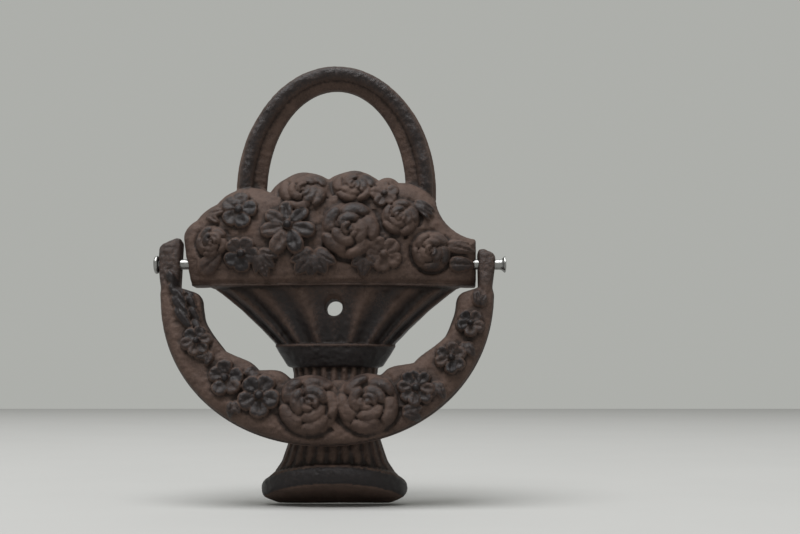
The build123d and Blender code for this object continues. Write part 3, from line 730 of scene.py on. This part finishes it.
def rod():
    """Turned from a profile along X: the head is at the left, the flare at the right."""
    x0, x1 = ROD_LOW[0], ROD_HIGH[0]
    profile = [(x0 + a, radius) for a, radius in ROD_HEAD] + [(x1 - a, radius) for a, radius in ROD_FLARE]
    ring = np.linspace(0, 2 * math.pi, ROD_SIDES, endpoint=False)
    verts, faces = [], []
    for x, radius in profile:
        dent = 1 + 0.03 * np.sin(3 * ring + x) + 0.02 * np.sin(7 * ring)
        r = radius * (dent if radius > ROUND_R else 1)
        verts += [(x, ROD_Y + a, ROD_Z + b) for a, b in zip(r * np.cos(ring), r * np.sin(ring))]
    for k in range(len(profile) - 1):
        for i in range(ROD_SIDES):
            a, b = k * ROD_SIDES + i, k * ROD_SIDES + (i + 1) % ROD_SIDES
            faces.append((a, b, b + ROD_SIDES, a + ROD_SIDES))
    mesh = bpy.data.meshes.new("pivot_rod_steel")
    mesh.from_pydata((np.array(verts) * MM).tolist(), [], faces)
    obj = bpy.data.objects.new("pivot_rod_steel", mesh)
    bpy.context.scene.collection.objects.link(obj)
    bm = bmesh.new()
    bm.from_mesh(mesh)
    bmesh.ops.remove_doubles(bm, verts=bm.verts, dist=1e-6)
    bmesh.ops.recalc_face_normals(bm, faces=bm.faces)
    bm.to_mesh(mesh)
    bm.free()
    mesh.polygons.foreach_set("use_smooth", [True] * len(mesh.polygons))
    return obj


# ---------------------------------------------------------------- materials


class Paint:
    """A material, with short ways to add nodes to it and to feed its shader."""

    def __init__(self, name):
        self.material = bpy.data.materials.new(name)
        self.material.use_nodes = True
        self.nodes, self.links = self.material.node_tree.nodes, self.material.node_tree.links
        self.shader = self.nodes["Principled BSDF"].inputs
        self.coords = self.nodes.new("ShaderNodeTexCoord").outputs["Object"]

    def feed(self, socket, value):
        """Links an output to a socket, or sets a colour or a number on it."""
        if hasattr(value, "is_linked"):
            self.links.new(value, socket)
        elif isinstance(value, tuple):
            socket.default_value = (*value, 1)
        else:
            socket.default_value = value

    def attribute(self, name):
        node = self.nodes.new("ShaderNodeAttribute")
        node.attribute_name = name
        return node.outputs["Fac"]

    def noise(self, scale, detail=4.0, rough=0.6):
        node = self.nodes.new("ShaderNodeTexNoise")
        for key, value in (("Scale", scale), ("Detail", detail), ("Roughness", rough)):
            self.feed(node.inputs[key], value)
        self.feed(node.inputs["Vector"], self.coords)
        return node.outputs["Fac"]

    def ranged(self, value, low, high, to_low=0.0, to_high=1.0):
        node = self.nodes.new("ShaderNodeMapRange")
        node.interpolation_type = "SMOOTHSTEP"
        for key, number in zip(("From Min", "From Max", "To Min", "To Max"), (low, high, to_low, to_high)):
            self.feed(node.inputs[key], number)
        self.feed(node.inputs["Value"], value)
        return node.outputs["Result"]

    def mixed(self, share, a, b):
        node = self.nodes.new("ShaderNodeMix")
        node.data_type = "RGBA"
        for socket, value in ((node.inputs["Factor"], share), (node.inputs[6], a), (node.inputs[7], b)):
            self.feed(socket, value)
        return node.outputs[2]

    def maths(self, operation, a, b):
        node = self.nodes.new("ShaderNodeMath")
        node.operation, node.use_clamp = operation, True
        for socket, value in zip(node.inputs, (a, b)):
            self.feed(socket, value)
        return node.outputs[0]

    def bump(self, height, strength, distance):
        """Roughens the surface itself by a height."""
        node = self.nodes.new("ShaderNodeBump")
        for key, value in (("Strength", strength), ("Distance", distance), ("Height", height)):
            self.feed(node.inputs[key], value)
        self.feed(self.shader["Normal"], node.outputs["Normal"])


def iron():
    """Old waxed iron: rust brown grounds, worn blue-black where it stands out, painted shade and dirt in
    the hollows, pale specks painted as highlights.
    """
    paint = Paint("old_cast_iron")
    worn, crevice_shade_and_dirt = paint.attribute("worn"), paint.attribute("crevice_shade_and_dirt")
    patches = paint.noise(140.0)
    fine = paint.noise(1500.0, 6.0, 0.7)
    highlight_specks = paint.noise(900.0, 2.0, 0.5)
    brown = paint.mixed(paint.ranged(patches, 0.35, 0.7), (0.043, 0.026, 0.020), (0.076, 0.047, 0.036))
    brown = paint.mixed(paint.ranged(fine, 0.4, 0.8), brown, (0.095, 0.060, 0.044))
    black = paint.mixed(paint.ranged(fine, 0.4, 0.7), (0.006, 0.005, 0.006), (0.019, 0.014, 0.013))
    share = paint.maths("ADD", worn, paint.ranged(fine, 0.3, 0.7, -0.35, 0.3))
    share = paint.ranged(share, 0.15, 1.0)
    colour = paint.mixed(share, brown, black)
    # painted shade and dirt: near-black mixed in where the surface lies below its surroundings
    colour = paint.mixed(paint.maths("MULTIPLY", crevice_shade_and_dirt, 0.9), colour, (0.014, 0.009, 0.007))
    # painted highlights: pale specks scattered over the iron
    colour = paint.mixed(paint.ranged(highlight_specks, 0.79, 0.82), colour, (0.3, 0.28, 0.25))
    paint.feed(paint.shader["Base Color"], colour)
    paint.feed(paint.shader["Roughness"], paint.ranged(share, 0.0, 1.0, 0.7, 0.4))
    paint.shader["Specular IOR Level"].default_value = 0.26
    paint.bump(fine, 0.8, 0.0004)
    return paint.material


def steel():
    """Bright zinc-plated steel, a little scratched and dull."""
    paint = Paint("zinc_steel")
    cloud = paint.noise(700.0)
    paint.feed(paint.shader["Base Color"], paint.mixed(cloud, (0.17, 0.17, 0.16), (0.36, 0.36, 0.35)))
    paint.feed(paint.shader["Roughness"], paint.ranged(cloud, 0.3, 0.7, 0.25, 0.45))
    paint.shader["Metallic"].default_value = 1.0
    paint.bump(cloud, 0.3, 0.0001)
    return paint.material


def pale_floor():
    """Pale stone colour, faintly clouded."""
    paint = Paint("pale_floor")
    pale = (0.37, 0.367, 0.355)
    clouded = paint.mixed(paint.noise(9.0), pale, tuple(0.93 * c for c in pale))
    paint.feed(paint.shader["Base Color"], clouded)
    paint.shader["Roughness"].default_value = 0.8
    return paint.material


# ---------------------------------------------------------------- the object

IRON, STEEL = iron(), steel()  # the two slots' looks
bodies = frame["record"]["behaviour"]["bodies"]

casting = basket()
casting.data.materials.append(IRON)
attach(casting, "basket")
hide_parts(*[node for node in bodies["basket"] if node != "pivot_rod"])

swinging = knocker()
swinging.data.materials.append(IRON)
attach(swinging, "knocker")
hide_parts(*bodies["knocker"])

pin = rod()
pin.data.materials.append(STEEL)
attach(pin, "basket")
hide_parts("pivot_rod")

# ---------------------------------------------------------------- stage, light, camera

FLOOR_Z = CAD_BOX[0][2]
FLOOR_HALF = 2.6  # metres; the light on it fails farther out
CAMERA_PLACE = (0.0276, -0.478, FLOOR_Z + 0.047)
CAMERA_TILT = 6.4  # degrees, upwards
BACKGROUND = (0.56, 0.57, 0.54, 1)


def floor():
    corners = [(a * FLOOR_HALF, b * FLOOR_HALF, FLOOR_Z) for a, b in ((-1, -1), (1, -1), (1, 1), (-1, 1))]
    mesh = bpy.data.meshes.new("floor")
    mesh.from_pydata(corners, [], [(0, 1, 2, 3)])
    obj = bpy.data.objects.new("floor", mesh)
    bpy.context.scene.collection.objects.link(obj)
    mesh.materials.append(pale_floor())


def area_light(name, place, size, power, colour):
    """A round light that points at the object's origin."""
    data = bpy.data.lights.new(name, "AREA")
    data.shape, data.size, data.energy, data.color = "DISK", size, power, colour
    obj = bpy.data.objects.new(name, data)
    obj.location = place
    obj.rotation_euler = (-Vector(place)).to_track_quat("-Z", "Y").to_euler()
    bpy.context.scene.collection.objects.link(obj)


def background():
    world = bpy.data.worlds.new("pale_world")
    bpy.context.scene.world = world
    world.use_nodes = True
    sockets = world.node_tree.nodes["Background"].inputs
    sockets["Color"].default_value, sockets["Strength"].default_value = BACKGROUND, 0.75


floor()
area_light("sky", (-0.5, -1.0, 3.0), 2.6, 165, (0.97, 0.98, 1.0))
area_light("front", (0.5, -1.2, 0.45), 0.9, 1.0, (1.0, 0.98, 0.95))
background()

camera_data = bpy.data.cameras.new("camera")
camera_data.lens, camera_data.sensor_width = 50, 36
camera = bpy.data.objects.new("camera", camera_data)
camera.location = CAMERA_PLACE
camera.rotation_euler = (math.radians(90 + CAMERA_TILT), 0, 0)
bpy.context.scene.collection.objects.link(camera)
bpy.context.scene.camera = camera
bpy.context.scene.view_settings.view_transform = "Standard"
